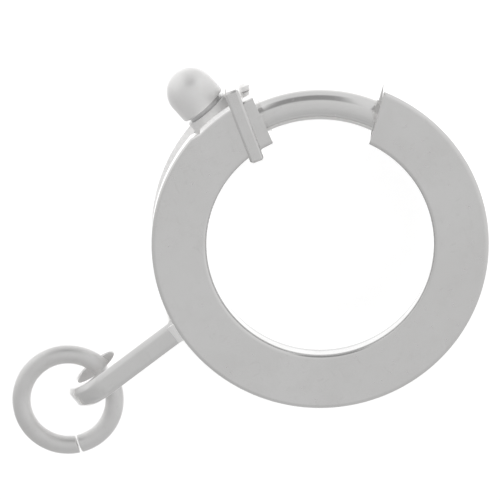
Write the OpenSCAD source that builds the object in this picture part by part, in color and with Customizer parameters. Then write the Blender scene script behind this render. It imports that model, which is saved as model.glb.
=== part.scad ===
// Spring ring clasp. The ring lies flat: +Z is its axis, the eye's centre is the
// origin, and +Y points to the middle of the mouth.

/* [Ring tube] */
// Outside diameter of the ring
ring_d = 18; // [17:0.1:20]
// Diameter of the open eye
eye_d = 12.1; // [11.4:0.1:12.6]
// Thickness of the ring along its axis
tube_h = 4.6; // [4.2:0.1:6]
// Wall of the tube's two faces and of its inner side
wall_t = 0.25; // [0.2:0.01:0.3]
// Wall of the tube's outer side, which the slot is sawn through
rim_t = 0.4; // [0.32:0.01:0.48]
// Bevel along the tube's four edges
edge_bevel = 0.2; // [0.06:0.01:0.22]
// Angle of the mouth, between the tube's two ends
mouth_a = 47.5; // [40:0.5:56]
// Slant of the open end against a true radius
end_slant_a = 7.8; // [0:0.2:10]
// Lean of the open end's cut against the upright
end_lean_a = 1.9; // [0:0.1:3]
// Depth that the rim is filed down by, at the shut end
seat_depth = 0.17; // [0.05:0.01:0.2]
// Length of the filed rim, from the mouth
seat_len = 3.8; // [3:0.1:4.4]

/* [Slot] */
// Width of the slot that the knob slides in
slot_w = 2.6; // [2.4:0.05:2.8]
// Length of rim left whole between the mouth and the slot
slot_lip = 0.2; // [0.1:0.02:0.3]
// Angle that the knob slides through, from shut to open
travel_a = 39; // [34:1:44]

/* [Tongue] */
// Diameter of the bent rod
tongue_d = 1.66; // [1.5:0.02:1.8]
// Length of the tip inside the open end when shut
tip_len = 0.9; // [0.5:0.1:2]
// Bevel on the tip's edge
tip_bevel = 0.3; // [0.1:0.05:0.4]
// Length of the rod behind the knob's axis
tail_len = 1.6; // [1.3:0.1:2.4]
// Length of the bush that guides the rod
bush_len = 0.7; // [0.5:0.05:0.8]

/* [Knob] */
// Diameter of the domed head
head_d = 2.62; // [2.4:0.02:3]
// Height of the head's straight side, below the dome
head_side = 0.98; // [0.6:0.02:1.4]
// Height of the head's lower edge above the rim
head_rise = 0.45; // [0.4:0.01:0.8]
// Width of the groove under the head
groove_w = 0.22; // [0.15:0.01:0.3]
// Depth of the groove, from the neck's side
groove_depth = 0.2; // [0.08:0.01:0.3]
// Diameter of the stem that is riveted into the rod
stem_d = 0.9; // [0.7:0.05:1]
// Length of the stem inside the rod
stem_len = 1.5; // [1.2:0.05:1.6]

/* [Collar] */
// Width of the band along the tube
collar_w = 0.76; // [0.6:0.02:1]
// Thickness of the band over the tube's two faces
collar_t = 0.25; // [0.2:0.01:0.4]
// How far the band stands out beyond the tube
collar_out = 0.7; // [0.45:0.05:0.9]
// How far the band stands into the eye
collar_in = 0.4; // [0.3:0.05:0.6]
// Bevel along the band's edges
collar_bevel = 0.12; // [0.06:0.01:0.18]
// Place of the band, along the tube from the mouth
collar_at = 1.03; // [0.9:0.01:1.2]
// Slant of the band against a true radius
collar_slant_a = 11.5; // [6:0.5:14]

/* [Spring] */
// Length of the coil along the tube when shut
spring_len = 17.8; // [16:0.2:20]
// Mean diameter of the coil
coil_d = 1.32; // [1.2:0.02:1.36]
// Wire of the coil
coil_wire_d = 0.28; // [0.2:0.02:0.3]
// Number of turns
coil_turns = 18; // [14:1:20]
// Length of the stop that the coil pushes on
stop_len = 0.6; // [0.4:0.1:1]

/* [Tag] */
// Thickness of the flat plate
tag_t = 1.25; // [0.9:0.05:1.4]
// Width of the plate, along the ring's axis
tag_w = 4; // [3.6:0.1:4.1]
// Bevel along the plate's edges
tag_bevel = 0.2; // [0.08:0.02:0.3]
// Distance of the plate's hole from the ring's rim
tag_reach = 5; // [4.4:0.1:6]
// Diameter of the plate's hole
tag_hole_d = 2.4; // [2.1:0.05:2.6]
// Place of the plate's foot, from the middle of the mouth
tag_a = 120.9; // [112:0.1:132]
// Lean of the plate against a true radius
tag_lean_a = 6.2; // [0:0.2:8]
// Twist of the plate about its own length
tag_twist_a = 5; // [0:0.5:8]
// Height of the soldered foot
foot_h = 0.3; // [0.15:0.05:0.5]
// Spread of the foot beside the plate
foot_spread = 0.2; // [0.1:0.05:0.3]

/* [Jump ring] */
// Outside diameter of the wire ring
jump_d = 6; // [5.6:0.1:7]
// Wire of the ring
jump_wire_d = 1; // [0.8:0.05:1.1]
// Width of the cut in the wire
jump_cut_w = 0.1; // [0.06:0.01:0.3]
// Direction of the cut, seen from the ring's middle
jump_cut_a = 282.5; // [260:0.5:320]
// Slant of the cut against a true radius
jump_slant_a = 7; // [0:1:12]

/* [Clearances] */
// Gap between the rod and the bore of its bush
bush_gap = 0.03; // [0.01:0.01:0.06]
// Gap between the rod and the inner wall
rod_gap = 0.05; // [0.04:0.01:0.08]
// Gap round the tube inside the collar
collar_gap = 0.02; // [0.01:0.01:0.05]
// Gap between the slot's edges and the knob's neck
neck_gap = 0.05; // [0.03:0.01:0.1]
// Gap between the neck and what stops it
stop_gap = 0.1; // [0.05:0.01:0.2]
// Gap round the stem, and under the neck's seat
stem_gap = 0.02; // [0.01:0.01:0.04]
// Gap at each end of the coil
coil_gap = 0.08; // [0.04:0.01:0.2]
// Least gap between the jump ring's wire and the hole
jump_gap = 0.25; // [0.1:0.01:0.3]

/* [Hidden] */
ring_r = ring_d / 2;
eye_r = eye_d / 2;
mid_r = (ring_r + eye_r) / 2;
half_h = tube_h / 2;
cavity_in_r = eye_r + wall_t;
cavity_out_r = ring_r - rim_t;
seat_r = ring_r - seat_depth;
cavity_h = tube_h - 2 * wall_t;
// The mouth is centred on +Y. The rod's shut end is the left one.
mouth_mid_a = 90;
left_a = mouth_mid_a + mouth_a / 2;
right_a = mouth_mid_a - mouth_a / 2;
// The rod's centre line is an arc close to the inner wall
tongue_r = tongue_d / 2;
rod_r = cavity_in_r + rod_gap + tongue_r;
function along_a(len, r) = len / r * 180 / PI;
bush_a = left_a + along_a(bush_len, rod_r);
tip_a = right_a - along_a(tip_len - tip_bevel, rod_r);
seat_end_a = left_a + along_a(seat_len, ring_r);
// The collar sits on the tube's middle line and leans off the radius
collar_a = left_a + along_a(collar_at, mid_r);
collar_dir_a = collar_a - collar_slant_a;
collar_h = tube_h + 2 * collar_gap + 2 * collar_t;
collar_rim_a = collar_dir_a + asin(mid_r * sin(collar_slant_a) / ring_r);
// Distance from the tube's middle line to a circle, along the collar
function along_collar(r) =
    sqrt(r * r - pow(mid_r * sin(collar_slant_a), 2)) - mid_r * cos(collar_slant_a);
collar_end_out = along_collar(ring_r) + collar_out;
collar_end_in = along_collar(eye_r) - collar_in;
// The neck rests one gap from the collar, in a slot a little wider than itself
neck_r = slot_w / 2 - neck_gap;
knob_a = collar_rim_a + asin((collar_w / 2 + stop_gap) / ring_r) + asin(neck_r / ring_r);
tail_a = knob_a + along_a(tail_len, rod_r);
slot_end_a = knob_a + travel_a + along_a(stop_gap, ring_r);
head_r = head_d / 2;
neck_low_r = rod_r + tongue_r + stem_gap;
head_low_r = ring_r + head_rise;
dome_r = head_low_r + head_side;
stem_r = stem_d / 2;
// The coil lies on the rod's arc, between the rod's tail and the stop
coil_a = tail_a + along_a(coil_gap + coil_wire_d / 2, rod_r);
coil_sweep_a = along_a(spring_len - coil_wire_d, rod_r);
stop_a = coil_a + coil_sweep_a + along_a(coil_gap + coil_wire_d / 2, rod_r);
stop_end_a = stop_a + along_a(stop_len, rod_r);
coil_steps = 12;
wire_sides = 6;
// The tag's root is sunk into the rim
tag_foot_a = mouth_mid_a + tag_a;
tag_root = -rim_t / 2;
// The jump ring's wire passes the hole below its middle, towards the ring
jump_r = (jump_d - jump_wire_d) / 2;
// and it has sunk a little, because the clasp lies on its back
jump_slack = (tag_hole_d - jump_wire_d) / 2 - jump_gap;
jump_sink_a = 68;
jump_drop = jump_slack * sin(jump_sink_a);
jump_reach = tag_reach - jump_slack * cos(jump_sink_a) + jump_r;
full_turn = 360;
// Length of a cutter past the face that it opens
past = 1;
slot_past = 0.05;
$fn = 96;

// A solid swept about the ring's axis, from one angle to another
module swept(from_a, to_a) {
    rotate([0, 0, from_a])
        rotate_extrude(angle = to_a - from_a)
            children();
}

// A rectangle with its four corners cut off
module bevelled(w, h, c) {
    x = w / 2;
    y = h / 2;
    polygon([
        [-x + c, -y], [x - c, -y], [x, -y + c], [x, y - c],
        [x - c, y], [-x + c, y], [-x, y - c], [-x, -y + c]
    ]);
}

module tube_outline() {
    translate([mid_r, 0])
        bevelled(ring_r - eye_r, tube_h, edge_bevel);
}

module cavity_outline() {
    translate([cavity_in_r, -cavity_h / 2])
        square([cavity_out_r - cavity_in_r, cavity_h]);
}

// The mouth's empty space: one side is a radius, the other a slanted plane
module mouth_space() {
    far = ring_r + past;
    near = eye_r / 2;
    over_a = right_a - mouth_a / 2;
    intersection() {
        linear_extrude(height = tube_h + 2 * past, center = true)
            polygon([
                near * [cos(left_a), sin(left_a)],
                near * [cos(over_a), sin(over_a)],
                2 * far * [cos(over_a), sin(over_a)],
                2 * far * [cos(mouth_mid_a), sin(mouth_mid_a)],
                far * [cos(left_a), sin(left_a)]
            ]);
        rotate([0, 0, right_a])
            translate([mid_r, 0, half_h])
                rotate([0, 0, end_slant_a])
                    rotate([-end_lean_a, 0, 0])
                        translate([-2 * ring_r, 0, -2 * tube_h])
                            cube([4 * ring_r, 2 * ring_r, 4 * tube_h]);
    }
}

// The space that is filed off the rim, with the tube's bevel on its edges
module seat_space() {
    x = seat_r - edge_bevel - past;
    y = half_h + past;
    swept(left_a - along_a(past, ring_r), seat_end_a)
        polygon([
            [x, y], [seat_r, half_h - edge_bevel], [seat_r, edge_bevel - half_h],
            [x, -y], [ring_r + past, -y], [ring_r + past, y]
        ]);
}

// The slot runs from near the left end to a round end, through the outer wall
module slot_space() {
    // A little more than the wall, so that the slot is sawn right through
    depth = rim_t + slot_past;
    swept(left_a + along_a(slot_lip, ring_r), slot_end_a)
        translate([ring_r - depth, -slot_w / 2])
            square([depth + past, slot_w]);
    // The round end is a flat cutter, so it goes twice as deep
    rotate([0, 0, slot_end_a])
        translate([ring_r - 2 * rim_t, 0, 0])
            rotate([0, 90, 0])
                cylinder(d = slot_w, h = 2 * rim_t + past);
}

// X runs along the tag from the rim, and Z is up
module at_tag() {
    rotate([0, 0, tag_foot_a])
        translate([ring_r, 0, 0])
            rotate([0, 0, tag_lean_a])
                children();
}

module tag() {
    at_tag()
        rotate([-tag_twist_a, 0, 0])
            difference() {
                union() {
                    translate([tag_root, 0, 0])
                        rotate([90, 0, 90])
                            linear_extrude(height = tag_reach - tag_root)
                                bevelled(tag_t, tag_w, tag_bevel);
                    // The round end
                    translate([tag_reach, 0, 0])
                        rotate([90, 0, 0])
                            rotate_extrude()
                                intersection() {
                                    bevelled(tag_w, tag_t, tag_bevel);
                                    translate([0, -tag_t])
                                        square([tag_w, 2 * tag_t]);
                                }
                    // The soldered foot
                    linear_extrude(height = tag_w - 2 * tag_bevel, center = true)
                        polygon([
                            [tag_root, -tag_t / 2 - foot_spread],
                            [foot_h, -tag_t / 2],
                            [foot_h, tag_t / 2],
                            [tag_root, tag_t / 2 + foot_spread]
                        ]);
                }
                translate([tag_reach, 0, 0])
                    rotate([90, 0, 0])
                        cylinder(d = tag_hole_d, h = tag_t + 2 * past, center = true);
            }
}

module body() {
    color("silver")
        union() {
            difference() {
                rotate_extrude()
                    tube_outline();
                // Chamber of the coil, from the bush to the stop
                swept(bush_a, stop_a)
                    cavity_outline();
                // Hollow from the stop to the open end
                swept(stop_end_a, full_turn + mouth_mid_a)
                    cavity_outline();
                // Bore of the bush
                swept(mouth_mid_a, bush_a + along_a(past, rod_r))
                    translate([rod_r, 0])
                        circle(r = tongue_r + bush_gap);
                slot_space();
                seat_space();
                mouth_space();
            }
            tag();
        }
}

module collar() {
    len = collar_end_out - collar_end_in;
    mid = (collar_end_out + collar_end_in) / 2;
    color("gainsboro")
        difference() {
            rotate([0, 0, collar_a])
                translate([mid_r, 0, 0])
                    rotate([0, 0, -collar_slant_a])
                        translate([mid, 0, 0])
                            intersection() {
                                linear_extrude(height = collar_h, center = true)
                                    bevelled(len, collar_w, collar_bevel);
                                rotate([90, 0, 90])
                                    linear_extrude(height = len, center = true)
                                        bevelled(collar_w, collar_h, collar_bevel);
                                rotate([90, 0, 0])
                                    linear_extrude(height = collar_w, center = true)
                                        bevelled(len, collar_h, collar_bevel);
                            }
            rotate_extrude()
                translate([eye_r - collar_gap, -half_h - collar_gap])
                    square([seat_r - eye_r + 2 * collar_gap, tube_h + 2 * collar_gap]);
        }
}

module tongue() {
    color("whitesmoke")
        difference() {
            union() {
                swept(tip_a, tail_a)
                    translate([rod_r, 0])
                        circle(d = tongue_d);
                // The tip's edge is bevelled, so that it finds its way into the open end
                rotate([0, 0, tip_a])
                    translate([rod_r, 0, 0])
                        rotate([90, 0, 0])
                            cylinder(r1 = tongue_r, r2 = tongue_r - tip_bevel, h = tip_bevel);
            }
            rotate([0, 0, knob_a])
                rotate([0, 90, 0])
                    cylinder(r = stem_r + stem_gap, h = ring_r);
        }
}

module knob() {
    color("white")
        rotate([0, 0, knob_a])
            rotate([0, 90, 0])
                union() {
                    translate([0, 0, neck_low_r - stem_len])
                        cylinder(r = stem_r, h = stem_len);
                    translate([0, 0, neck_low_r])
                        cylinder(r = neck_r, h = head_low_r - groove_w - neck_low_r);
                    translate([0, 0, neck_low_r])
                        cylinder(r = neck_r - groove_depth, h = head_low_r - neck_low_r);
                    translate([0, 0, head_low_r])
                        cylinder(r = head_r, h = head_side);
                    translate([0, 0, dome_r])
                        sphere(r = head_r);
                }
}

// A point on the coil's wire: i counts steps along the coil, j sides of the wire
function coil_point(i, j) =
    let (
        turn_a = full_turn * i / coil_steps,
        arc_a = coil_a + coil_sweep_a * i / (coil_turns * coil_steps),
        side_a = full_turn * j / wire_sides,
        wire = coil_wire_d / 2,
        out = coil_d / 2 + wire * cos(side_a),
        r = rod_r + out * cos(turn_a),
        z = out * sin(turn_a),
        push_a = along_a(wire * sin(side_a), r)
    )
    [r * cos(arc_a + push_a), r * sin(arc_a + push_a), z];

module spring() {
    rings = coil_turns * coil_steps;
    points = [for (i = [0:rings]) for (j = [0:wire_sides - 1]) coil_point(i, j)];
    sides = [
        for (i = [0:rings - 1]) for (j = [0:wire_sides - 1])
            let (k = (j + 1) % wire_sides, a = i * wire_sides, b = a + wire_sides)
            [a + j, b + j, b + k, a + k]
    ];
    start = [for (j = [0:wire_sides - 1]) j];
    end = [for (j = [wire_sides - 1:-1:0]) rings * wire_sides + j];
    color("darkgray")
        polyhedron(points = points, faces = concat(sides, [start, end]), convexity = 10);
}

module jump_ring() {
    color("silver")
        at_tag()
            translate([jump_reach, 0, -jump_drop])
                rotate([0, 0, jump_cut_a - tag_foot_a - tag_lean_a])
                    difference() {
                        rotate_extrude()
                            translate([jump_r, 0])
                                circle(d = jump_wire_d);
                        translate([jump_r, 0, 0])
                            rotate([0, 0, jump_slant_a])
                                cube([jump_wire_d * 2, jump_cut_w, jump_wire_d * 2], center = true);
                    }
}

body();
collar();
tongue();
knob();
spring();
jump_ring();
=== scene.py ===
# %% [markdown]
# # A silver spring ring clasp
#
# This lesson dresses the imported frame of a spring ring clasp: a hollow round body, a
# sliding tongue with a thumb knob, a collar, a tag and a jump ring. The frame is loaded
# first, because each new piece stands where a plain solid already is and moves with the
# same rigid body.

from math import atan2, cos, hypot, pi, radians, sin, sqrt, tan

import bmesh
import bpy
from mathutils import Matrix, Vector


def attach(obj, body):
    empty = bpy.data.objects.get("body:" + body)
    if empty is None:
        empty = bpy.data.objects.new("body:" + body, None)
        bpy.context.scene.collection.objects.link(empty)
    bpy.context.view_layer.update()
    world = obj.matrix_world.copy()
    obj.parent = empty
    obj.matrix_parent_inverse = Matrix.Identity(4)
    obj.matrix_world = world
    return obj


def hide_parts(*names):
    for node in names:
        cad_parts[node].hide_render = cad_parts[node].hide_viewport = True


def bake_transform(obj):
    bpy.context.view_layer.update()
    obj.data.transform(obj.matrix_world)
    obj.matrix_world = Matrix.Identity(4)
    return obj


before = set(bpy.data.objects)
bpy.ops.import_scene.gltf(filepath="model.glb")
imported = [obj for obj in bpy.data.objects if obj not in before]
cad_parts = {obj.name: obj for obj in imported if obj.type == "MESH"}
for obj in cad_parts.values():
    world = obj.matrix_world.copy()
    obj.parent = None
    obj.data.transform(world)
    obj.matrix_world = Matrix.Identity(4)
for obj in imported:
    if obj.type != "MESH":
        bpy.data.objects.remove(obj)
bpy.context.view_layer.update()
MM = 0.001

# %% [markdown]
# ## The sizes
#
# A small thing is easiest to model in millimetres, so every mesh is made in them and is
# scaled to metres once, when it is finished. The values here are the solids' own, and are
# those that several pieces share. A piece's other sizes stand in its own cell. Angles are
# in degrees, anticlockwise from +X as seen from the front.

# %% Sizes that several pieces share
RIM_R = 9.0  # outer radius of the ring
EYE_R = 6.05  # radius of its eye
MID_R = (RIM_R + EYE_R) / 2
HALF_H = 2.3  # half the ring's thickness
WALL = 0.25  # wall of the two faces and of the inner side
RIM_WALL = 0.40  # wall of the outer side
FILED_R = 8.83  # radius of the rim where it is filed down
ROD_R = 7.18  # radius of the tongue's bend
ROD_D = 1.66  # thickness of the tongue
COLLAR_T = 0.25  # thickness of the collar over the ring's faces
COLLAR_GAP = 0.02  # gap between the collar and the ring
FLOOR_Z = -(HALF_H + COLLAR_GAP + COLLAR_T)
print("the tube's middle line has a radius of", MID_R, "mm, and the floor is at", round(FLOOR_Z, 2))

# %% [markdown]
# ## The camera
#
# The photograph was taken from far away with a long lens, from nearly straight above the
# clasp but leaning 13 degrees towards the mouth, so the upper rim and the lower wall of
# the eye just show. A long lens is copied as it is: a distance of 600 mm, and the focal
# length that gives 18.7 pixels to a millimetre in a picture 500 pixels wide.

# %% Camera
PIXELS = 500
PIXELS_PER_MM = 18.706
DISTANCE = 600.0
TILT_A = 13.3
ROLL_A = -0.44
ORIGIN_RIGHT, ORIGIN_UP = 3.737, 0.783  # from the picture's middle to the eye's, in mm
SENSOR_MM = 36
CLIP_NEAR, CLIP_FAR = 0.01, 50

right = Vector((cos(radians(ROLL_A)), sin(radians(ROLL_A)), 0))
up_in_plane = Vector((-right.y, right.x, 0))
to_camera = up_in_plane * sin(radians(TILT_A)) + Vector((0, 0, cos(radians(TILT_A))))
to_camera.normalize()
up = to_camera.cross(right)
aim = -(right * ORIGIN_RIGHT + up * ORIGIN_UP)

camera_data = bpy.data.cameras.new("camera")
camera_data.sensor_width = SENSOR_MM
camera_data.lens = PIXELS_PER_MM * DISTANCE * SENSOR_MM / PIXELS
camera_data.clip_start = CLIP_NEAR
camera_data.clip_end = CLIP_FAR
camera = bpy.data.objects.new("camera", camera_data)
turn = Matrix((right, up, to_camera)).transposed().to_4x4()
camera.matrix_world = Matrix.Translation((aim + to_camera * DISTANCE) * MM) @ turn
bpy.context.scene.collection.objects.link(camera)
bpy.context.scene.camera = camera
bpy.context.scene.view_settings.view_transform = "Standard"
print("lens in mm:", round(camera_data.lens))

# %% [markdown]
# ## Shader sums in plain Python
#
# A node tree is hard to read as code. This small class wraps one socket, so that
# `1 - mask * 0.2` makes the Math nodes for that sum, and `node` makes any other node.

# %% A socket that Python can add and multiply


class Wire:
    def __init__(self, tree, socket=None):
        self.tree, self.socket = tree, socket

    def node(self, kind, settings=None, sockets=None, out=0):
        """A new node: its settings are made first, then its sockets' values and links."""
        made = self.tree.nodes.new(kind)
        for name, value in (settings or {}).items():
            if name == "stops":
                ramp = made.color_ramp
                while len(ramp.elements) < len(value):
                    ramp.elements.new(1)
                for element, (place, grey) in zip(ramp.elements, value):
                    element.position, element.color = place, (grey, grey, grey, 1)
            else:
                setattr(made, name, value)
        for name, value in (sockets or {}).items():
            if isinstance(value, Wire):
                self.tree.links.new(value.socket, made.inputs[name])
            else:
                made.inputs[name].default_value = value
        return Wire(self.tree, made.outputs[out])

    def maths(self, operation, first, second):
        return self.node("ShaderNodeMath", {"operation": operation}, {0: first, 1: second})

    def __add__(self, other):
        return self.maths("ADD", self, other)

    __radd__ = __add__

    def __mul__(self, other):
        return self.maths("MULTIPLY", self, other)

    __rmul__ = __mul__

    def __sub__(self, other):
        return self.maths("SUBTRACT", self, other)

    def __rsub__(self, other):
        return self.maths("SUBTRACT", other, self)

    def smooth(self, low, high):
        """0 below low, 1 above high and a soft step between them."""
        return self.node(
            "ShaderNodeMapRange",
            {"interpolation_type": "SMOOTHSTEP"},
            {"Value": self, "From Min": low, "From Max": high},
        )

    def band(self, rise, fall):
        """1 between two soft steps and 0 outside them."""
        return self.smooth(*rise) - self.smooth(*fall)

    def axes(self):
        """The three parts of a vector."""
        split = self.node("ShaderNodeSeparateXYZ", None, {0: self})
        return [Wire(self.tree, split.socket.node.outputs[i]) for i in range(3)]


print("a wire can be added, multiplied, subtracted, smoothed and split")

# %% [markdown]
# ## The sky
#
# Polished silver has no colour of its own: it shows the room. In the photograph the flat
# faces are a mid grey, the upright walls that face the top of the picture are white, the
# round edges stay grey, and the tongue carries one dark streak. So the room is a sky that
# gets a little lighter towards +Y and is white far below. The walls see straight down, and
# the round edges look out sideways, where it is grey. A dark card high on the +Y side makes
# the tongue's streak, a thin seam gives the curved pieces a second line, and a pale window
# on the left lights the knob.

# %% Sky
# Each stop is a place along the ramp, from 0 to 1, and its grey.
SKY_STOPS = (
    (0, 0.485),
    (0.2, 0.49),
    (0.385, 0.555),
    (0.61, 0.585),
    (0.75, 0.61),
    (0.85, 0.65),
    (1, 0.66),
)
BELOW_STOPS = ((0, 0.0), (0.5, 0.02), (0.6, 0.12), (0.75, 0.30), (0.86, 0.55), (0.95, 1.0))
BELOW_GLOW = 1.35
RIGHT_GAIN = 0.12
# Each soft step is the pair of places where it starts and ends.
CARD_X = (-0.46, -0.34), (0.16, 0.30)
CARD_Y = 0.4, 0.6
CARD_Z = (0.06, 0.14), (0.66, 0.76)
CARD_DARK = 0.58
SEAM_Y = (-0.87, -0.84), (-0.82, -0.79)
SEAM_DARK = 0.12
WINDOW_LEFT = 0.25, 0.60
WINDOW_Y = -0.20, 0.30
WINDOW_TOP = 0.15, 0.50
WINDOW_GLOW = 0.20

world = bpy.data.worlds.new("studio")
bpy.context.scene.world = world
world.use_nodes = True
world.node_tree.nodes.clear()
sky = Wire(world.node_tree)
look_x, look_y, look_z = sky.node("ShaderNodeTexCoord").axes()


def ramp_grey(stops, place):
    """A grey value read from a colour ramp."""
    ramp = sky.node("ShaderNodeValToRGB", {"stops": stops}, {"Fac": place})
    return sky.node("ShaderNodeSeparateColor", None, {0: ramp})


grey = ramp_grey(SKY_STOPS, look_y * 0.5 + 0.5)
below = ramp_grey(BELOW_STOPS, 0 - look_z)
card = look_x.band(*CARD_X) * look_z.band(*CARD_Z) * look_y.smooth(*CARD_Y)
seam = look_y.band(*SEAM_Y)
above = grey * (1 - card * CARD_DARK) * (1 + look_x * RIGHT_GAIN) * (1 - seam * SEAM_DARK)
window = (0 - look_x).smooth(*WINDOW_LEFT) * look_y.smooth(*WINDOW_Y) * (1 - look_z.smooth(*WINDOW_TOP))
glow = (above + window * WINDOW_GLOW) * (1 - below) + below * BELOW_GLOW
light = sky.node("ShaderNodeBackground", None, {"Color": glow})
surface = world.node_tree.nodes.new("ShaderNodeOutputWorld")
world.node_tree.links.new(light.socket, surface.inputs["Surface"])
print("the sky has", len(world.node_tree.nodes), "nodes")

# %% [markdown]
# ## The floor
#
# The floor is plain, pale and softly lit. Rays that the silver mirrors pass through it to
# the sky below, because a white floor right under the silver would turn every round edge
# white and lose it against the background.

# %% Floor
FLOOR_SIZE = 2.0
FLOOR_GREY = 0.82
FLOOR_GLOW = 0.64
GLOSSY_RAY = 3  # the Light Path node's output for mirrored rays

floor_mesh = bmesh.new()
bmesh.ops.create_grid(floor_mesh, x_segments=1, y_segments=1, size=FLOOR_SIZE)
floor_data = bpy.data.meshes.new("floor")
floor_mesh.to_mesh(floor_data)
floor_mesh.free()
floor_data.transform(Matrix.Translation((0, 0, FLOOR_Z * MM)))
floor = bpy.data.objects.new("floor", floor_data)
bpy.context.scene.collection.objects.link(floor)

paint = bpy.data.materials.new("floor_white")
paint.use_nodes = True
plain = paint.node_tree.nodes["Principled BSDF"]
plain.inputs["Base Color"].default_value = (FLOOR_GREY, FLOOR_GREY, FLOOR_GREY, 1)
plain.inputs["Roughness"].default_value = 0.9
plain.inputs["Specular IOR Level"].default_value = 0.1
plain.inputs["Emission Color"].default_value = (1, 1, 1, 1)
plain.inputs["Emission Strength"].default_value = FLOOR_GLOW
painted = Wire(paint.node_tree, plain.outputs[0])
ray = painted.node("ShaderNodeLightPath", out=GLOSSY_RAY)
clear = painted.node("ShaderNodeBsdfTransparent")
both = painted.node("ShaderNodeMixShader", None, {0: ray, 1: painted, 2: clear})
paint.node_tree.links.new(both.socket, paint.node_tree.nodes["Material Output"].inputs["Surface"])
floor_data.materials.append(paint)
print("mirrored rays are read from the output", ray.socket.name)

# %% [markdown]
# ## The patterns of worn metal
#
# A silver casting that has been barrel polished is bright, but not a mirror: it has wide
# shallow waves, hairline scratches in all directions, small pits and smudges. All of them
# are noise, kept between two soft limits. They read Object coordinates, which are the same
# in each piece, so the pattern stays put when a piece moves. One finish also has a fold: a
# thin duller line round the wall of the eye, where the strip was bent to a tube.

# %% Patterns
OBJECT_PLACE = 3  # the Texture Coordinate node's output for Object coordinates
MIX_A, MIX_B, MIX_RESULT = 6, 7, 2  # the Mix node's sockets for colours
HAIRLINES = (((0.2, 0.1, 0.5), 0.16), ((0.5, 0.3, -0.9), 0.22), ((-0.4, 0.6, 1.8), 0.19))
HAIRLINE_STRETCH = 30.0
HAIRLINE_CUT = 0.64, 0.72
FOLD_SOFT = 0.1  # width of its soft edges in mm
FOLD_FADE = 0.4  # how much of it is gone above the line
FOLD_GREY = 0.42
FOLD_STRENGTH = 0.85
EYE_SOFT = 1e-6  # soft step of a squared radius, in square metres


def noise(place, size_mm, detail, distortion=0.0):
    sockets = {"Vector": place, "Scale": 1 / (size_mm * MM), "Detail": detail, "Distortion": distortion}
    return place.node("ShaderNodeTexNoise", {"noise_dimensions": "3D"}, sockets)


def hairlines(place, turn, size_mm):
    """Noise drawn out long in one direction, and only its highest lines kept."""
    sockets = {"Vector": place, "Rotation": turn, "Scale": (1.0, HAIRLINE_STRETCH, 1.0)}
    drawn = place.node("ShaderNodeMapping", {"vector_type": "TEXTURE"}, sockets)
    return noise(drawn, size_mm, 3.0).smooth(*HAIRLINE_CUT)


def mixed(factor, first, second):
    """Two colours mixed by a factor."""
    sockets = {"Factor": factor, MIX_A: first, MIX_B: second}
    return factor.node("ShaderNodeMix", {"data_type": "RGBA"}, sockets, out=MIX_RESULT)


def fold_line(place, colour, low, high, radius):
    """The fold between two heights in millimetres, within a radius."""
    x, y, z = place.axes()
    rise = z.smooth((low - FOLD_SOFT) * MM, low * MM)
    fall = z.smooth(high * MM, (high + FOLD_SOFT) * MM)
    edge = (radius * MM) ** 2
    near_eye = 1 - (x * x + y * y).smooth(edge, edge + EYE_SOFT)
    mask = (rise - fall * FOLD_FADE) * near_eye
    return mixed(mask * FOLD_STRENGTH, colour, (FOLD_GREY, FOLD_GREY, FOLD_GREY, 1))


print("hairlines run in", len(HAIRLINES), "directions")

# %% [markdown]
# ## One recipe for all metals
#
# The waves and pits go through a Bump node, and they are scaled to the size of the thing:
# a wave is two or three millimetres long and a few hundredths of a millimetre high. A dull
# film, uneven as a cloud, shifts the roughness and, faintly, the colour. Lengths are in
# millimetres, and scratch, film and pit say how strong each kind of wear is.

# %% One metal
FILM_TINT = 0.72, 0.70, 0.68  # what is left of each colour under the film
CLOUD_SCALE = 2.2  # size of the film's clouds, in waves
CLOUD_CUT = 0.35, 0.7
SMUDGE_MM, SMUDGE_CUT = 0.9, (0.4, 0.75)
PIT_MM, PIT_CUT = 0.22, (0.71, 0.80)


def metal(name, tint, rough, wave_mm, wave_height, scratch, film, pit=0.1, glow=0.0, line=None):
    """A polished metal with waves, scratches, pits and a thin uneven film."""
    made = bpy.data.materials.new(name)
    made.use_nodes = True
    tree = made.node_tree
    shader = tree.nodes["Principled BSDF"]
    shader.inputs["Metallic"].default_value = 1.0
    # The glow is painted light: an emission that lifts the metal's tone without a lamp.
    shader.inputs["Emission Color"].default_value = (1, 1, 1, 1)
    shader.inputs["Emission Strength"].default_value = glow
    place = Wire(tree).node("ShaderNodeTexCoord", out=OBJECT_PLACE)
    waves = noise(place, wave_mm, 1.5)
    cloud = noise(place, wave_mm * CLOUD_SCALE, 3.0, distortion=0.6)
    first, second, third = (hairlines(place, *each) for each in HAIRLINES)
    lines = first + second + third
    pits = noise(place, PIT_MM, 1.0).smooth(*PIT_CUT)
    smudge = noise(place, SMUDGE_MM, 4.0).smooth(*SMUDGE_CUT)
    dull = cloud.smooth(*CLOUD_CUT) * 0.6 + smudge * 0.4
    tone = 1.0 - dull * film - lines * (film * 0.5) - pits * pit
    filmed = [channel * left for channel, left in zip(tint, FILM_TINT)]
    colour = mixed(tone, (*filmed, 1), (*tint, 1))
    if line:
        colour = fold_line(place, colour, *line)
    gloss = rough + dull * (rough * 0.7) + lines * 0.05 + pits * 0.12
    relief = waves + smudge * 0.05 - lines * scratch - pits * (pit * 0.4)
    sockets = {"Height": relief, "Strength": 1.0, "Distance": wave_height * MM}
    bump = place.node("ShaderNodeBump", None, sockets)
    for wire, socket in ((colour, "Base Color"), (gloss, "Roughness"), (bump, "Normal")):
        tree.links.new(wire.socket, shader.inputs[socket])
    print(name, "has", len(tree.nodes), "nodes")
    return made


def silver(name, grey, *wear, **extra):
    """A metal as faintly warm as silver is."""
    return metal(name, (grey, grey - 0.005, grey - 0.01), *wear, **extra)
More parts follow.
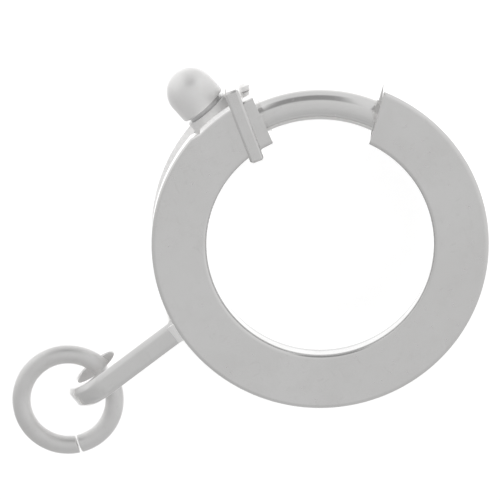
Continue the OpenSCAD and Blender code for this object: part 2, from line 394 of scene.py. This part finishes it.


# %% [markdown]
# ## Silver and steel
#
# The same recipe makes each finish, with its own roughness and wear. After the name and
# the tint, the values are the roughness, a wave's length and height, the scratches and
# the film. A glow on a finish is painted light, which lifts its tone where no lamp does.

# %% Finishes
POLISHED = silver("polished_silver", 0.93, 0.14, 2.6, 0.020, 0.02, 0.12, pit=0.05)
RING = silver("ring_silver", 0.935, 0.15, 2.6, 0.020, 0.02, 0.17, pit=0.05, line=(1.0, 1.25, 6.08))
# The brushed finish has a faint glow, which is painted light on the knob's dome.
BRUSHED_GLOWING = silver("brushed_silver_painted_glow", 0.95, 0.42, 2.0, 0.016, 0.02, 0.10, pit=0.05, glow=0.06)
# The sawn finish glows strongly: painted light on the slot's sides and the filed strip.
SAWN_GLOWING = silver("sawn_silver_painted_glow", 0.90, 0.5, 0.6, 0.010, 0.05, 0.2, glow=0.36)
# The unpolished finish glows faintly: painted light in the tube's hollow and on the knob's neck.
INSIDE_GLOWING = silver("unpolished_silver_painted_glow", 0.85, 0.5, 0.6, 0.010, 0.05, 0.2, glow=0.10)
# The drilled finish glows: painted light that keeps the hole's wall grey.
DRILLED_GLOWING = silver("drilled_silver_painted_glow", 0.90, 0.4, 0.6, 0.010, 0.05, 0.2, glow=0.07)
# The solder glows: painted light that makes a light strip across the tag's foot.
SOLDER_GLOWING = silver("solder", 0.95, 0.4, 0.5, 0.020, 0.05, 0.15, glow=0.14)
# A darker, rougher metal for the knob's groove: painted shade.
GROOVE_SHADE = metal("groove_painted_shade", (0.78, 0.78, 0.78), 0.35, 0.6, 0.006, 0.03, 0.2)
TUMBLED = silver("tumbled_silver", 0.92, 0.18, 1.6, 0.020, 0.03, 0.18)
DRAWN = silver("jump_wire_silver", 0.91, 0.36, 1.2, 0.016, 0.03, 0.18)
STEEL = metal("spring_steel", (0.52, 0.52, 0.54), 0.30, 0.8, 0.004, 0.03, 0.30)

# %% [markdown]
# ## Helpers for solid shapes
#
# Every piece starts as a bmesh in millimetres. Most are a flat outline that is drawn out,
# or a circle that is spun. `cut` takes closed shapes out of another with an exact Boolean,
# which leaves clean sharp edges where a saw or a drill has been. An outline that turns
# inwards is filled as a loop of edges, because a plain fill would put its corners in
# another order.

# %% Helpers for solid shapes
MERGE = 1e-5  # points closer than this are one point
FINE = 1e-6  # a slice passes through points closer than this
EXACT = 1e-3  # slack of a test for a plane that the points lie in
SLACK = 0.01  # slack of a test for where a face is
PAST = 1.0  # how far a cutter passes the face that it opens
QUARTER_TURN = Matrix.Rotation(radians(90), 4, "X")  # lays a flat shape on edge


def everything(bm):
    return bm.verts[:] + bm.edges[:] + bm.faces[:]


def into_object(bm, name):
    mesh = bpy.data.meshes.new(name)
    bm.to_mesh(mesh)
    bm.free()
    made = bpy.data.objects.new(name, mesh)
    bpy.context.scene.collection.objects.link(made)
    return made


def cut(bm, *cutters):
    """The shape of bm without the cutters' shapes."""
    main = into_object(bm, "cut_main")
    tools = [into_object(cutter, "cut_tool") for cutter in cutters]
    for tool in tools:
        step = main.modifiers.new("cut", "BOOLEAN")
        step.operation, step.solver, step.object = "DIFFERENCE", "EXACT", tool
    shape = main.evaluated_get(bpy.context.evaluated_depsgraph_get()).to_mesh()
    result = bmesh.new()
    result.from_mesh(shape)
    for used in [main, *tools]:
        data = used.data
        bpy.data.objects.remove(used)
        bpy.data.meshes.remove(data)
    bmesh.ops.remove_doubles(result, verts=result.verts, dist=MERGE)
    return result


def block(low, high):
    """A box between two corners."""
    bm = bmesh.new()
    centre = [(a + b) / 2 for a, b in zip(low, high)]
    size = [b - a for a, b in zip(low, high)]
    place = Matrix.Translation(centre) @ Matrix.Diagonal((*size, 1))
    bmesh.ops.create_cube(bm, size=1, matrix=place)
    return bm


def loop_edges(bm, points):
    """A closed line through the points."""
    corners = [bm.verts.new(p) for p in points]
    return [bm.edges.new(pair) for pair in zip(corners, corners[1:] + corners[:1])]


def draw_out(bm, way):
    """Draw all faces out, to a solid."""
    pulled = bmesh.ops.extrude_face_region(bm, geom=bm.faces[:])
    moved = [g for g in pulled["geom"] if isinstance(g, bmesh.types.BMVert)]
    bmesh.ops.translate(bm, vec=way, verts=moved)


def prism(outline, low, high, axis):
    """A flat outline drawn out along X or Z, from low to high."""
    bm = bmesh.new()
    points = [(low, a, b) if axis == "X" else (a, b, low) for a, b in outline]
    bmesh.ops.edgeloop_fill(bm, edges=loop_edges(bm, points))
    draw_out(bm, (high - low, 0, 0) if axis == "X" else (0, 0, high - low))
    bmesh.ops.recalc_face_normals(bm, faces=bm.faces)
    return bm


print("a closed outline becomes a prism, and cut takes one shape out of another")

# %% [markdown]
# ## Helpers for edges and bending
#
# A crisp metal edge is never quite sharp, and its narrow rounding is what catches the
# light. `soften` rounds edges, and two small tests pick them. `bend` lays a straight bar
# round the ring, after cutting it in slices, because a flat face can't bend.

# %% Helpers for edges and bending


def soften(bm, edges, width, segments=3):
    """Round the given edges."""
    bmesh.ops.bevel(
        bm,
        geom=list(edges),
        offset=width,
        offset_type="OFFSET",
        segments=segments,
        profile=0.5,
        affect="EDGES",
        clamp_overlap=True,
        material=-1,
    )


def edges_where(bm, test):
    """The edges whose two ends both pass the test."""
    return [e for e in bm.edges if all(test(v.co) for v in e.verts)]


def edges_turning(bm, low_a, high_a=360):
    """The edges whose two faces turn by an angle between these two."""
    closed = [e for e in bm.edges if e.is_manifold]
    return [e for e in closed if radians(low_a) < e.calc_face_angle() < radians(high_a)]


def arc_angles(low_a=0, high_a=90, steps=6):
    return [radians(low_a + (high_a - low_a) * i / steps) for i in range(steps + 1)]


def wrap(bm):
    """Turn X, the length along the middle line, into an angle. Y is the radius."""
    for v in bm.verts:
        a = v.co.x / MID_R
        v.co = Vector((v.co.y * cos(a), v.co.y * sin(a), v.co.z))


def bend(bm, slice_a=2.0):
    """Bend a straight bar round the ring."""
    low = min(v.co.x for v in bm.verts)
    high = max(v.co.x for v in bm.verts)
    step = radians(slice_a) * MID_R
    for i in range(int(low / step) - 1, int(high / step) + 2):
        if low < i * step < high:
            plane = {"plane_co": (i * step, 0, 0), "plane_no": (1, 0, 0)}
            bmesh.ops.bisect_plane(bm, geom=everything(bm), dist=FINE, **plane)
    wrap(bm)


def turned(bm, angle):
    about_z = Matrix.Rotation(radians(angle), 3, "Z")
    bmesh.ops.rotate(bm, cent=(0, 0, 0), matrix=about_z, verts=bm.verts)


def close_ends(bm):
    """Merge a spun shape's double points and put a face in each open end."""
    bmesh.ops.remove_doubles(bm, verts=bm.verts, dist=MERGE)
    bmesh.ops.holes_fill(bm, edges=[e for e in bm.edges if e.is_boundary], sides=0)


print("a bar is bent round a radius of", MID_R, "mm")

# %% [markdown]
# ## Finishing a piece
#
# `settle` scales the piece to metres, shades it smooth with weighted normals, so that the
# flats stay flat between their rounded edges, gives it its finishes and its body, and hides
# the plain solids that it stands for. It prints the count of triangles and of open edges,
# which has to be 0 in a closed piece.

# %% Finish a piece
TABLE = []


def settle(bm, name, finishes, body, nodes, crease=50.0, weighted=True):
    bmesh.ops.remove_doubles(bm, verts=bm.verts, dist=10 * MERGE)
    bmesh.ops.recalc_face_normals(bm, faces=bm.faces)
    bmesh.ops.scale(bm, vec=(MM, MM, MM), verts=bm.verts)
    open_edges = sum(1 for e in bm.edges if not e.is_manifold)
    piece = into_object(bm, name)
    piece.data.shade_smooth()
    piece.data.set_sharp_from_angle(angle=radians(crease))
    if weighted:
        flats = piece.modifiers.new("flats", "WEIGHTED_NORMAL")
        flats.keep_sharp = True
        flats.weight = 60
    for finish in finishes:
        piece.data.materials.append(finish)
    if body:
        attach(piece, body)
    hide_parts(*nodes)
    triangles = sum(len(p.vertices) - 2 for p in piece.data.polygons)
    TABLE.append((name, triangles, open_edges))
    print(name, "-", triangles, "triangles,", open_edges, "open edges")
    return piece


# %% [markdown]
# ## The cutters of the ring
#
# The knob slides in a slot, sawn through the outer wall from near the shut end to a round
# end. The rim is filed down a little where the knob rests, and the shut end's corner at
# the eye is worn round. Each is made as the space that the tool took away, on the bar
# before it is bent: X is the length along its middle line, Y the radius and Z the height.

# %% Cutters
SHUT_A, OPEN_A = 113.75, 66.25  # the tube's two ends
START_X = radians(SHUT_A) * MID_R
END_X = radians(OPEN_A + 360) * MID_R
ROUNDING = 0.24  # radius of the tube's long edges
SLOT_W = 2.6
SLOT_END_A = 170.37  # centre of its round end
SLOT_LIP = 0.2  # length of rim left whole before it
FILED_A = 137.94  # end of the filed rim
FILED_RAMP = 0.5
FILED_START_A = 4  # of its rounding, so that the file just clears the ring's face
FILE_INTO, FILE_OVER = 0.4, 0.1  # how far its cutter reaches into the hollow and past the faces


def slot_cutter(depth):
    """The slot's space: a round end, drawn out towards the tube's shut end."""
    bm = bmesh.new()
    middle = radians(SLOT_END_A) * MID_R
    squeeze = Matrix.Diagonal((MID_R / RIM_R, 1, 1, 1))
    lay = Matrix.Translation((middle, RIM_R - depth, 0)) @ squeeze @ QUARTER_TURN
    made = bmesh.ops.create_circle(bm, cap_ends=True, segments=64, radius=SLOT_W / 2, matrix=lay)
    for v in made["verts"]:
        if v.co.x < middle - EXACT:
            v.co.x = START_X + SLOT_LIP * MID_R / RIM_R
    draw_out(bm, (0, depth + PAST, 0))
    bmesh.ops.recalc_face_normals(bm, faces=bm.faces)
    return bm


def filed_cutter():
    """What the file took off the rim: the space outside a lower, equally rounded rim."""
    centre_y, centre_z = FILED_R - ROUNDING, HALF_H - ROUNDING
    arc = arc_angles(FILED_START_A, 90)
    upper = [(centre_y + ROUNDING * sin(t), centre_z + ROUNDING * cos(t)) for t in arc]
    lower = [(y, -z) for y, z in reversed(upper)]
    near, far, outside = centre_y - FILE_INTO, RIM_R + PAST, HALF_H + FILE_OVER
    outline = [(near, outside), *upper, *lower, (near, -outside), (far, -outside), (far, outside)]
    end = radians(FILED_A) * MID_R
    bm = prism(outline, START_X - PAST, end + FILED_RAMP / 2, "X")
    ramp = {"plane_co": (end - FILED_RAMP / 2, 0, 0), "plane_no": (1, 0, 0)}
    bmesh.ops.bisect_plane(bm, geom=everything(bm), dist=FINE, **ramp)
    for v in bm.verts:
        if v.co.x > end and v.co.y < RIM_R:
            v.co.y += RIM_R - FILED_R + SLACK
    return bm


def corner_cutter(radius):
    """What rounds the shut end's corner at the eye."""
    x, y = START_X + radius, EYE_R + radius
    curve = [(x - radius * sin(t), y - radius * cos(t)) for t in arc_angles()]
    outline = [(x, EYE_R - PAST), *curve, (START_X - PAST, y), (START_X - PAST, EYE_R - PAST)]
    return prism(outline, -HALF_H - PAST, HALF_H + PAST, "Z")


print("the tube is", round(END_X - START_X, 1), "mm long on its middle line")

# %% [markdown]
# ## The ring
#
# The real ring is a strip folded into a square tube and bent into a circle. Here it starts
# as a straight solid bar. Its long edges are rounded first, because a bevel on a straight
# bar doesn't pinch, and its open end is sheared, because the real cut slants and leans.
# The hollow, the slot, the filed rim and the corner are cut from it together, which keeps
# each edge clean, and the cut ends get a hair of rounding. Only then is the bar bent
# round. The slot's sides and the filed strip get the sawn finish, and the hollow the
# unpolished one. Both finishes glow, which is painted light.

# %% The tube
END_SLANT_A, END_LEAN_A = 7.8, 1.9
CORNER_R = 0.16
END_ROUNDING = 0.015
END_ZONE = 1.0  # the slanted end lies within this of END_X
SHUT_ZONE = 0.05  # the shut end's rounding lies within this of START_X
FACING, ASIDE = 0.9, 0.5  # the part of a normal along the way that it faces, or faces aside from


def end_shift(p):
    """How far the open end's cut moves a point of the bar along it."""
    slant = (p.y - MID_R) * tan(radians(END_SLANT_A))
    lean = (HALF_H - p.z) * tan(radians(END_LEAN_A))
    return (slant - lean) * MID_R / p.y


def in_hollow(p):
    deep = EYE_R + WALL - SLACK < p.y < RIM_R - RIM_WALL + SLACK
    return deep and abs(p.z) < HALF_H - WALL + SLACK


def turns_to_an_end(edge):
    """Does the edge have an end of the bar on one side only?"""
    ends = [abs(f.normal.x) > FACING for f in edge.link_faces]
    return len(ends) == 2 and ends[0] != ends[1]


def outside_at_an_end(p):
    return not in_hollow(p) and (p.x < START_X + EXACT or p.x > END_X - END_ZONE)


def finish_tube(bm):
    """Give the sawn and the hollow faces the second and the third finish, which glow with painted
    light.
    """
    for f in bm.faces:
        p = f.calc_center_median()
        in_slot = p.y > RIM_R - RIM_WALL - SLACK and abs(p.z) < SLOT_W / 2 + SLACK
        between = START_X + SHUT_ZONE < p.x < END_X - END_ZONE
        filed = f.normal.y > FACING and abs(p.y - FILED_R) < 2 * SLACK and p.x < END_X / 2
        if in_slot and between and abs(f.normal.y) < ASIDE:
            f.material_index = 1
        # the hollow gets the unpolished finish, whose glow is painted light
        elif in_hollow(p) and abs(f.normal.x) < ASIDE:
            f.material_index = 2
        elif filed:
            f.material_index = 1


def tube():
    bm = block((START_X, EYE_R, -HALF_H), (END_X, RIM_R, HALF_H))
    lengthwise = [e for e in bm.edges if abs((e.verts[0].co - e.verts[1].co).x) > 1]
    soften(bm, lengthwise, ROUNDING, 6)
    for v in bm.verts:
        if v.co.x > END_X - EXACT:
            v.co.x += end_shift(v.co)
    low = (START_X - PAST, EYE_R + WALL, WALL - HALF_H)
    hollow = block(low, (END_X + 3 * PAST, RIM_R - RIM_WALL, HALF_H - WALL))
    bm = cut(bm, hollow, slot_cutter(2 * RIM_WALL), filed_cutter(), corner_cutter(CORNER_R))
    rims = [e for e in edges_where(bm, outside_at_an_end) if turns_to_an_end(e)]
    soften(bm, rims, END_ROUNDING, 2)
    finish_tube(bm)
    bend(bm)
    return bm


settle(tube(), "ring_tube", (RING, SAWN_GLOWING, INSIDE_GLOWING), "clasp", ["body"], crease=60)

# %% [markdown]
# ## Bush and stop
#
# Two small blocks are soldered inside the tube: the bush at the shut end, which guides
# the tongue, and the stop that the coil pushes on. Both are plain blocks, bent like the
# tube. The bush has a bore and a piece of the slot, cut while the block is still straight.

# %% Bush and stop
BUSH_A = 119.34
BORE_GAP = 0.03
BORE_R = ROD_D / 2 + BORE_GAP
BORE_LENGTH = 4
BORE_ROUNDING = 0.05
BUSH_SLOT_DEPTH = 0.45
STOP_A, STOP_END_A = 286.82, 291.60


def filling(low_x, high_x):
    """A block that fills the tube's hollow over a length."""
    low = (low_x, EYE_R + WALL, WALL - HALF_H)
    return block(low, (high_x, RIM_R - RIM_WALL, HALF_H - WALL))


def bush():
    bm = filling(START_X, radians(BUSH_A) * MID_R)
    bore = bmesh.new()
    lay = Matrix.Translation((START_X, ROD_R, 0)) @ Matrix.Rotation(radians(90), 4, "Y")
    size = {"radius1": BORE_R, "radius2": BORE_R, "depth": BORE_LENGTH}
    bmesh.ops.create_cone(bore, cap_ends=True, segments=64, matrix=lay, **size)
    bm = cut(bm, bore, slot_cutter(BUSH_SLOT_DEPTH))

    def lip(p):
        return p.x < START_X + EXACT and hypot(p.y - ROD_R, p.z) < BORE_R + SLACK

    soften(bm, edges_where(bm, lip), BORE_ROUNDING, 2)
    bend(bm)
    return bm


def stop():
    bm = filling(radians(STOP_A) * MID_R, radians(STOP_END_A) * MID_R)
    bend(bm)
    return bm


settle(bush(), "guide_bush", (TUMBLED,), "clasp", ["body"])
settle(stop(), "spring_stop", (TUMBLED,), "clasp", ["body"])

# %% [markdown]
# ## The tongue
#
# A bent round rod. One circle is spun about the ring's axis, which gives even quads, and
# its ends are closed and rounded. The tip is rounded more, so that it finds its way into
# the open end of the tube.

# %% The tongue
TIP_A, TAIL_A = 59.07, 143.50
TIP_ROUNDING, TAIL_ROUNDING = 0.28, 0.1


def tongue():
    bm = bmesh.new()
    out_to_rod = Matrix.Rotation(radians(TIP_A), 4, "Z") @ Matrix.Translation((ROD_R, 0, 0))
    lay = out_to_rod @ QUARTER_TURN
    bmesh.ops.create_circle(bm, cap_ends=False, segments=48, radius=ROD_D / 2, matrix=lay)
    path = {"cent": (0, 0, 0), "axis": (0, 0, 1), "angle": radians(TAIL_A - TIP_A)}
    bmesh.ops.spin(bm, geom=bm.edges[:], steps=60, use_merge=False, **path)
    close_ends(bm)
    for angle, width in ((TIP_A, TIP_ROUNDING), (TAIL_A, TAIL_ROUNDING)):
        normal = Vector((-sin(radians(angle)), cos(radians(angle)), 0))
        rim = edges_where(bm, lambda p: abs(p.dot(normal)) < EXACT)
        soften(bm, rim, width, 4)
    return bm


settle(tongue(), "tongue_rod", (POLISHED,), "bolt", ["tongue"])

# %% [markdown]
# ## The knob
#
# The thumb knob is turned on a lathe, so it is one profile spun round its own axis. The
# profile starts as a quarter circle for the dome, spun from a single point, and goes on
# down the side, round the lower edge, into the groove and down the neck. Its corners are
# rounded as points of the profile, before the profile becomes a surface. The brushed
# dome has a wide soft highlight and a faint painted glow, the groove gets a darker metal
# as painted shade, and the neck gets the unpolished finish with its painted glow.

# %% The knob
KNOB_A = 130.73
HEAD_R, NECK_R = 1.31, 1.25  # radii about the knob's own axis
DOME_R, HEAD_LOW_R, NECK_LOW_R = 10.43, 9.45, 8.03  # distances from the ring's axis
GROOVE_W, GROOVE_DEPTH = 0.22, 0.20
GROOVE_LOW_R = HEAD_LOW_R - GROOVE_W


def knob_profile(bm):
    """Half the knob's outline, with X along its axis."""
    top = bmesh.ops.create_vert(bm, co=(DOME_R + HEAD_R, 0, 0))["vert"][0]
    quarter = {"cent": (DOME_R, 0, 0), "axis": (0, 0, 1), "angle": radians(90)}
    bmesh.ops.spin(bm, geom=[top], steps=24, use_merge=False, **quarter)
    last = max(bm.verts, key=lambda v: v.co.y)
    corners = (
        (HEAD_LOW_R, HEAD_R, 0.09),
        (HEAD_LOW_R, NECK_R - GROOVE_DEPTH, 0),
        (GROOVE_LOW_R, NECK_R - GROOVE_DEPTH, 0),
        (GROOVE_LOW_R, NECK_R, 0.04),
        (NECK_LOW_R, NECK_R, 0.06),
        (NECK_LOW_R, 0, 0),
    )
    line = []
    for x, y, rounding in corners:
        last = bmesh.ops.extrude_vert_indiv(bm, verts=[last])["verts"][0]
        last.co = (x, y, 0)
        line.append((last, rounding))
    for vert, rounding in line:
        if rounding:
            bmesh.ops.bevel(
                bm,
                geom=[vert],
                offset=rounding,
                offset_type="OFFSET",
                segments=3,
                profile=0.5,
                affect="VERTICES",
                material=-1,
            )


def knob():
    bm = bmesh.new()
    knob_profile(bm)
    lathe = {"cent": (0, 0, 0), "axis": (1, 0, 0), "angle": radians(360)}
    bmesh.ops.spin(bm, geom=bm.edges[:], steps=96, use_merge=True, **lathe)
    slack = 2 * SLACK
    for f in bm.faces:
        middle = f.calc_center_median()
        deep = hypot(middle.y, middle.z) < NECK_R - slack
        # the groove's deep faces get the darker metal, as painted shade
        if deep and GROOVE_LOW_R - slack < middle.x < HEAD_LOW_R + slack:
            f.material_index = 1
        # the neck gets the unpolished finish, whose glow is painted light
        elif middle.x < GROOVE_LOW_R + slack:
            f.material_index = 2
    turned(bm, KNOB_A)
    return bm


settle(knob(), "thumb_knob", (BRUSHED_GLOWING, GROOVE_SHADE, INSIDE_GLOWING), "bolt", ["knob"], crease=40)

# %% [markdown]
# ## The collar
#
# A rectangular band is pushed over the end of the tube and leans a little. Its long edges
# are flat chamfers with a fine line between each chamfer and the face, so a wide bevel
# with one segment is followed by a narrow one on its two edges. Then the ring's own shape,
# one rectangle spun, is taken out of it.

# %% The collar
COLLAR_W = 0.76
COLLAR_OUT, COLLAR_IN = 0.70, 0.40  # how far it stands past the rim, and into the eye
COLLAR_A, COLLAR_SLANT_A = 121.59, 11.5
CHAMFER, CHAMFER_ROUNDING = 0.12, 0.025


def band_space():
    """The ring's space, a little larger all round."""
    bm = bmesh.new()
    low, high, half = EYE_R - COLLAR_GAP, FILED_R + COLLAR_GAP, HALF_H + COLLAR_GAP
    corners = ((low, 0, -half), (high, 0, -half), (high, 0, half), (low, 0, half))
    circle = {"cent": (0, 0, 0), "axis": (0, 0, 1), "angle": radians(360)}
    bmesh.ops.spin(bm, geom=loop_edges(bm, corners), steps=180, use_merge=True, **circle)
    bmesh.ops.recalc_face_normals(bm, faces=bm.faces)
    return bm


def collar():
    lean = (MID_R * sin(radians(COLLAR_SLANT_A))) ** 2
    base = MID_R * cos(radians(COLLAR_SLANT_A))
    outer = sqrt(RIM_R**2 - lean) - base + COLLAR_OUT
    inner = sqrt(EYE_R**2 - lean) - base - COLLAR_IN
    half_w, half_h = COLLAR_W / 2, HALF_H + COLLAR_GAP + COLLAR_T
    bm = block((inner, -half_w, -half_h), (outer, half_w, half_h))
    soften(bm, bm.edges[:], CHAMFER, 1)
    soften(bm, bm.edges[:], CHAMFER_ROUNDING, 2)
    turned(bm, -COLLAR_SLANT_A)
    bmesh.ops.translate(bm, vec=(MID_R, 0, 0), verts=bm.verts)
    turned(bm, COLLAR_A)
    return cut(bm, band_space())


settle(collar(), "end_collar", (TUMBLED,), "clasp", ["collar"], crease=30)

# %% [markdown]
# ## The tag
#
# A flat plate on edge, with a round end and a hole, soldered to the ring's rim. The hole's
# circle is grown outwards twice: once to the round end, and then its inner half is pushed
# straight down to the rim. The narrow strips that this leaves are merged to one face,
# because a bevel can't be wider than the strip beside it. Then come the thickness, a soft
# rounding in the hole, and a flat chamfer on the outer edges with softened ridges.

# %% The tag
TAG_A, TAG_LEAN_A, TAG_TWIST_A = 210.9, 6.2, 5.0
TAG_REACH = 5.0  # from the rim to the hole's centre
TAG_T, TAG_W, TAG_HOLE_D = 1.25, 4.0, 2.4
TAG_ROOT = -RIM_WALL / 2  # its root stands in the rim's wall
TAG_CHAMFER, RIDGE_ROUNDING, HOLE_ROUNDING = 0.25, 0.05, 0.10
SHARP_A, RIDGE_A = 60, 35  # the least turn of a sharp edge, and of a chamfer's ridge
HOLE_R = TAG_HOLE_D / 2
DRILLED_R = HOLE_R + 0.05  # nearer to its centre than this is the hole's own wall
CLEAR_R = HOLE_R + 0.3  # past its rounding, and short of the outer chamfer


def at_tag(bm):
    """From the tag's own frame, X along it from the rim, to its place on the ring."""
    twist = Matrix.Rotation(radians(-TAG_TWIST_A), 4, "X")
    lean = Matrix.Translation((RIM_R, 0, 0)) @ Matrix.Rotation(radians(TAG_LEAN_A), 4, "Z")
    place = Matrix.Rotation(radians(TAG_A), 4, "Z") @ lean @ twist
    bmesh.ops.transform(bm, matrix=place, verts=bm.verts)
    return bm


def from_hole(p):
    return hypot(p.x - TAG_REACH, p.z)


def at_root(p):
    return p.x < TAG_ROOT + EXACT


def tag_outline():
    """The plate as one flat layer, facing Y."""
    bm = bmesh.new()
    lay = Matrix.Translation((TAG_REACH, 0, 0)) @ QUARTER_TURN
    bmesh.ops.create_circle(bm, cap_ends=False, segments=64, radius=HOLE_R, matrix=lay)
    grown = bmesh.ops.extrude_edge_only(bm, edges=bm.edges[:])
    outer = [g for g in grown["geom"] if isinstance(g, bmesh.types.BMVert)]
    growth = TAG_W / TAG_HOLE_D
    about_hole = Matrix.Translation((-TAG_REACH, 0, 0))
    bmesh.ops.scale(bm, vec=(growth, 1, growth), space=about_hole, verts=outer)
    edge = [e for e in bm.edges if e.is_boundary and all(v in outer for v in e.verts)]
    inner_half = [e for e in edge if all(v.co.x < TAG_REACH + EXACT for v in e.verts)]
    pushed = bmesh.ops.extrude_edge_only(bm, edges=inner_half)
    for g in pushed["geom"]:
        if isinstance(g, bmesh.types.BMVert):
            g.co.x = TAG_ROOT
    bmesh.ops.remove_doubles(bm, verts=bm.verts, dist=MERGE)
    strips = [f for f in bm.faces if f.calc_center_median().x < TAG_REACH]
    bmesh.ops.dissolve_faces(bm, faces=strips, use_verts=False)
    spare = [v for v in bm.verts if at_root(v.co) and abs(v.co.z) < TAG_W / 2 - EXACT]
    bmesh.ops.dissolve_verts(bm, verts=spare)
    return bm


def outer_edges(edges):
    """Those edges that are neither at the root nor in the hole."""
    standing = [e for e in edges if not all(at_root(v.co) for v in e.verts)]
    return [e for e in standing if not all(from_hole(v.co) < CLEAR_R for v in e.verts)]


def tag():
    bm = tag_outline()
    draw_out(bm, (0, TAG_T, 0))
    bmesh.ops.translate(bm, vec=(0, -TAG_T / 2, 0), verts=bm.verts)
    bmesh.ops.recalc_face_normals(bm, faces=bm.faces)
    sharp = edges_turning(bm, SHARP_A)
    hole_rims = [e for e in sharp if all(from_hole(v.co) < HOLE_R + EXACT for v in e.verts)]
    soften(bm, hole_rims, HOLE_ROUNDING, 3)
    soften(bm, outer_edges(edges_turning(bm, SHARP_A)), TAG_CHAMFER, 1)
    soften(bm, outer_edges(edges_turning(bm, RIDGE_A, SHARP_A)), RIDGE_ROUNDING, 2)
    # The hole's wall gets the drilled finish, whose glow is painted light.
    for f in bm.faces:
        if from_hole(f.calc_center_median()) < DRILLED_R and abs(f.normal.y) < ASIDE:
            f.material_index = 1
    return at_tag(bm)


settle(tag(), "tag_plate", (TUMBLED, DRILLED_GLOWING), "clasp", ["body"], crease=30)

# %% [markdown]
# ## The solder
#
# Molten solder creeps up both sides of the plate and sets in a hollow curve, so its
# section is a quarter circle turned inwards, drawn along the plate's width. A small wedge
# of it stands over the plate's upper edge, where that meets the rim.

# %% The solder
SOLDER_LOW, SOLDER_RISE, SOLDER_SPREAD = -0.06, 0.34, 0.24
SOLDER_IN, SOLDER_ROOT = 0.01, 0.05  # how deep it stands in the plate
WEDGE = ((-0.16, -0.08), (0.36, -0.02), (0.30, 0.03), (-0.02, 0.16), (-0.16, 0.17))
WEDGE_INSET = 0.1


def solder():
    bm = bmesh.new()
    side, half_w = TAG_T / 2 - SOLDER_IN, TAG_W / 2 - TAG_CHAMFER
    for way in (1, -1):
        outline = [
            (SOLDER_LOW + SOLDER_RISE * (1 - cos(t)), way * (side + SOLDER_SPREAD * (1 - sin(t))))
            for t in arc_angles()
        ]
        outline.append((SOLDER_LOW, way * (side - SOLDER_ROOT)))
        bmesh.ops.edgeloop_fill(bm, edges=loop_edges(bm, [(x, y, -half_w) for x, y in outline]))
    draw_out(bm, (0, 0, 2 * half_w))
    over_edge = [(x, TAG_W / 2 + rise) for x, rise in WEDGE]
    wedge = prism(over_edge, WEDGE_INSET - side, side - WEDGE_INSET, "Z")
    bmesh.ops.transform(wedge, matrix=QUARTER_TURN, verts=wedge.verts)
    data = bpy.data.meshes.new("wedge")
    wedge.to_mesh(data)
    wedge.free()
    bm.from_mesh(data)
    bpy.data.meshes.remove(data)
    return at_tag(bm)


# The solder's finish glows: painted light for the light strip at the tag's foot.
settle(solder(), "tag_solder", (SOLDER_GLOWING,), "clasp", ["body"], crease=40)

# %% [markdown]
# ## The jump ring
#
# A round wire bent into a circle, with the two ends almost touching. The wire's circle is
# spun through a little less than a full turn, its ends are closed and softened, and the
# ends are then leaned, because they were cut with slanted cutters. It hangs a little low in
# the tag's hole, as it does when the clasp lies on a table.

# %% The jump ring
JUMP_R, JUMP_WIRE, JUMP_CUT = 2.5, 1.0, 0.1
JUMP_CUT_A, JUMP_SLANT_A = 282.5, 7.0
JUMP_FADE_A = 14  # the lean dies out this far from the cut
JUMP_ROUNDING = 0.06
JUMP_REACH, JUMP_DROP = 7.331, 0.417  # its centre, out from the rim and down


def jump_ring():
    bm = bmesh.new()
    gap = JUMP_CUT / JUMP_R
    out_to_wire = Matrix.Rotation(gap / 2, 4, "Z") @ Matrix.Translation((JUMP_R, 0, 0))
    lay = out_to_wire @ QUARTER_TURN
    bmesh.ops.create_circle(bm, cap_ends=False, segments=40, radius=JUMP_WIRE / 2, matrix=lay)
    path = {"cent": (0, 0, 0), "axis": (0, 0, 1), "angle": 2 * pi - gap}
    bmesh.ops.spin(bm, geom=bm.edges[:], steps=144, use_merge=False, **path)
    close_ends(bm)
    rims = [e for e in bm.edges if any(len(f.verts) > 4 for f in e.link_faces)]
    soften(bm, rims, JUMP_ROUNDING, 3)
    for v in bm.verts:
        r = hypot(v.co.x, v.co.y)
        a = atan2(v.co.y, v.co.x)
        near = max(0.0, 1 - abs(a) / radians(JUMP_FADE_A))
        a += near * (r - JUMP_R) * tan(radians(JUMP_SLANT_A)) / r
        v.co.x, v.co.y = r * cos(a), r * sin(a)
    turned(bm, JUMP_CUT_A)
    foot, way = radians(TAG_A), radians(TAG_A + TAG_LEAN_A)
    centre = Vector((cos(foot), sin(foot), 0)) * RIM_R + Vector((cos(way), sin(way), 0)) * JUMP_REACH
    bmesh.ops.translate(bm, vec=centre - Vector((0, 0, JUMP_DROP)), verts=bm.verts)
    return bm


settle(jump_ring(), "wire_ring", (DRAWN,), "clasp", ["jump_ring"])

# %% [markdown]
# ## The spring
#
# The coil inside the tube shows through the slot when the knob is drawn back. A straight
# coil is one small circle spun with a step forward at each turn, and the same bend that
# made the ring lays it along the tongue's arc. It is given no body, and its place is
# baked into its mesh.

# %% The spring
COIL_A, COIL_SWEEP = 145.25, 139.81
COIL_TURNS, COIL_D, COIL_WIRE = 18, 1.32, 0.28
STEPS_A_TURN = 24


def coil():
    bm = bmesh.new()
    start, length = radians(COIL_A) * MID_R, radians(COIL_SWEEP) * MID_R
    lay = Matrix.Translation((start, ROD_R + COIL_D / 2, 0))
    bmesh.ops.create_circle(bm, cap_ends=False, segments=8, radius=COIL_WIRE / 2, matrix=lay)
    steps = COIL_TURNS * STEPS_A_TURN
    path = {"cent": (start, ROD_R, 0), "axis": (1, 0, 0), "dvec": (length / steps, 0, 0)}
    path["angle"] = 2 * pi * COIL_TURNS
    bmesh.ops.spin(bm, geom=bm.edges[:], steps=steps, use_merge=False, **path)
    close_ends(bm)
    wrap(bm)
    return bm


spring_coil = settle(coil(), "spring_coil", (STEEL,), None, ["spring"], weighted=False)
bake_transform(spring_coil)

# %% Finish
print("pieces:", len(TABLE), "triangles:", sum(row[1] for row in TABLE))
